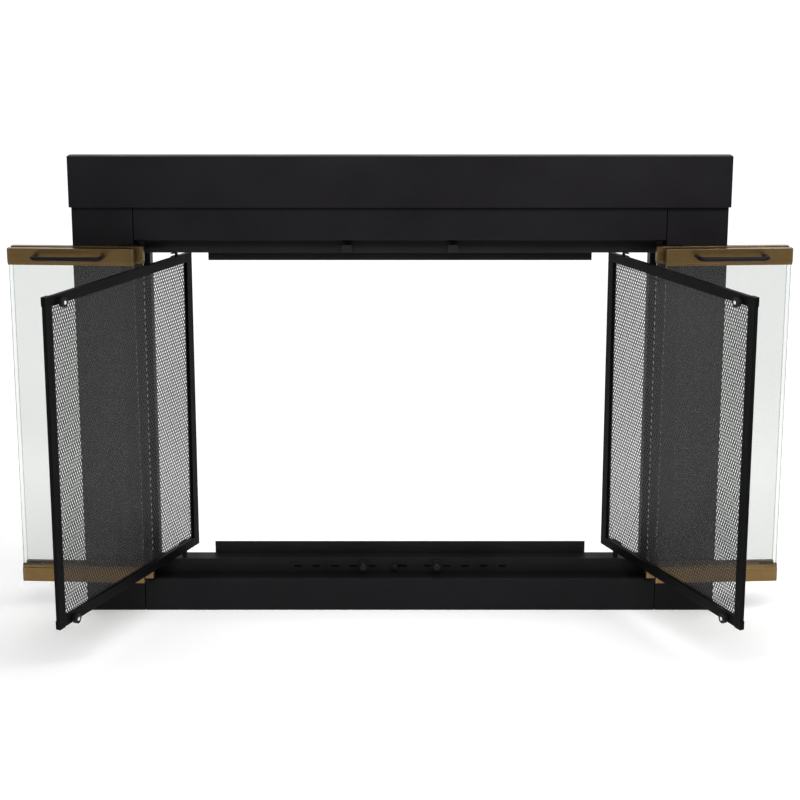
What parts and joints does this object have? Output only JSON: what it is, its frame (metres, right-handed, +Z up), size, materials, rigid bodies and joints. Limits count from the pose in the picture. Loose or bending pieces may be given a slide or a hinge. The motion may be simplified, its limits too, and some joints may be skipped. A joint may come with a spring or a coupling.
{
  "type": "built-in fireplace door screen",
  "caption": "Wall-fitted fireplace screen: black steel surround and hood, folding glass doors in front, hinged mesh gates behind, vented riser with a sliding damper",
  "frame": {"origin": "on the hearth under the bottom rail, at the middle of the width, in the plane of the wall that the surround is fitted to", "axes": "+Z up, +X to the viewer's right when facing the fireplace, +Y into the fireplace"},
  "size_m": [1.3456, 0.3997, 0.825],
  "materials": {
    "black_steel": "satin",
    "recess_steel": "matte",
    "antique_brass": "satin",
    "clear_glass": "gloss",
    "black_mesh": "matte",
    "zinc_steel": "satin",
    "magnet": "satin"
  },
  "bodies": {
    "frame": {"hood": "black_steel", "header_rail": "black_steel", "left_stile": "black_steel", "right_stile": "black_steel", "bottom_rail": "black_steel", "left_jamb": "recess_steel", "right_jamb": "recess_steel", "header_lip": "recess_steel", "vent_riser": "recess_steel", "upper_stop_plate": "recess_steel", "lower_stop_plate": "recess_steel", "corner_brackets": "recess_steel", "frame_screws": "zinc_steel", "lintel_clamps": "zinc_steel", "anchor_brackets": "zinc_steel", "damper_guides": "recess_steel", "top_catches": "recess_steel", "bottom_catches": "recess_steel", "left_pivot_brackets": "recess_steel", "right_pivot_brackets": "recess_steel"},
    "damper": {"damper_plate": "black_steel", "damper_knob": "recess_steel"},
    "left_outer_door": {"left_outer_glass": "clear_glass", "left_outer_top_rail": "antique_brass", "left_outer_bottom_rail": "antique_brass", "left_pivot_arms": "zinc_steel", "left_outer_hinges": "recess_steel"},
    "left_inner_door": {"left_inner_glass": "clear_glass", "left_inner_top_rail": "antique_brass", "left_inner_bottom_rail": "antique_brass", "left_inner_hinges": "recess_steel", "left_handle": "black_steel"},
    "left_gate": {"left_gate_rails": "black_steel", "left_gate_stiles": "black_steel", "left_gate_mesh": "black_mesh", "left_gate_caps": "black_steel", "left_gate_magnets": "recess_steel", "left_gate_magnet_cores": "magnet", "left_gate_pivot_blocks": "recess_steel"},
    "left_gate_pin": {"left_gate_spring_pin": "recess_steel"},
    "right_outer_door": {"right_outer_glass": "clear_glass", "right_outer_top_rail": "antique_brass", "right_outer_bottom_rail": "antique_brass", "right_pivot_arms": "zinc_steel", "right_outer_hinges": "recess_steel"},
    "right_inner_door": {"right_inner_glass": "clear_glass", "right_inner_top_rail": "antique_brass", "right_inner_bottom_rail": "antique_brass", "right_inner_hinges": "recess_steel", "right_handle": "black_steel"},
    "right_gate": {"right_gate_rails": "black_steel", "right_gate_stiles": "black_steel", "right_gate_mesh": "black_mesh", "right_gate_caps": "black_steel", "right_gate_magnets": "recess_steel", "right_gate_magnet_cores": "magnet", "right_gate_pivot_blocks": "recess_steel"},
    "right_gate_pin": {"right_gate_spring_pin": "recess_steel"}
  },
  "joints": [
    {"name": "left_door_pivot", "type": "hinge", "parent": "frame", "child": "left_outer_door", "pos_m": [-0.4455, -0.0171, 0.37], "axis": [0, 0, 1], "range_deg": [0, 183]},
    {"name": "left_door_fold", "type": "hinge", "parent": "left_outer_door", "child": "left_inner_door", "pos_m": [-0.66921, -0.0267, 0.37], "axis": [0, 0, -1], "range_deg": [0, 180]},
    {"name": "left_gate_pivot", "type": "hinge", "parent": "frame", "child": "left_gate", "pos_m": [-0.3923, 0.0349, 0.37], "axis": [0, 0, 1], "range_deg": [0, 114.3]},
    {"name": "left_gate_pin_slide", "type": "slide", "parent": "left_gate", "child": "left_gate_pin", "axis": [0, 0, -1], "range_m": [0, 0.004], "stiffness_N_per_m": 600, "springref_m": -0.002},
    {"name": "right_door_pivot", "type": "hinge", "parent": "frame", "child": "right_outer_door", "pos_m": [0.4455, -0.0171, 0.37], "axis": [0, 0, -1], "range_deg": [0, 183]},
    {"name": "right_door_fold", "type": "hinge", "parent": "right_outer_door", "child": "right_inner_door", "pos_m": [0.66921, -0.0267, 0.37], "axis": [0, 0, 1], "range_deg": [0, 180]},
    {"name": "right_gate_pivot", "type": "hinge", "parent": "frame", "child": "right_gate", "pos_m": [0.3923, 0.0349, 0.37], "axis": [0, 0, -1], "range_deg": [0, 114.3]},
    {"name": "right_gate_pin_slide", "type": "slide", "parent": "right_gate", "child": "right_gate_pin", "axis": [0, 0, -1], "range_m": [0, 0.004], "stiffness_N_per_m": 600, "springref_m": -0.002},
    {"name": "damper_slide", "type": "slide", "parent": "frame", "child": "damper", "axis": [1, 0, 0], "range_m": [0, 0.018]}
  ],
  "couplings": [
    {"joint": "left_door_fold", "follows": "left_door_pivot", "ratio": 0.98361},
    {"joint": "left_gate_pivot", "follows": "left_door_pivot", "ratio": 0.62459},
    {"joint": "right_door_fold", "follows": "right_door_pivot", "ratio": 0.98361},
    {"joint": "right_gate_pivot", "follows": "right_door_pivot", "ratio": 0.62459}
  ]
}
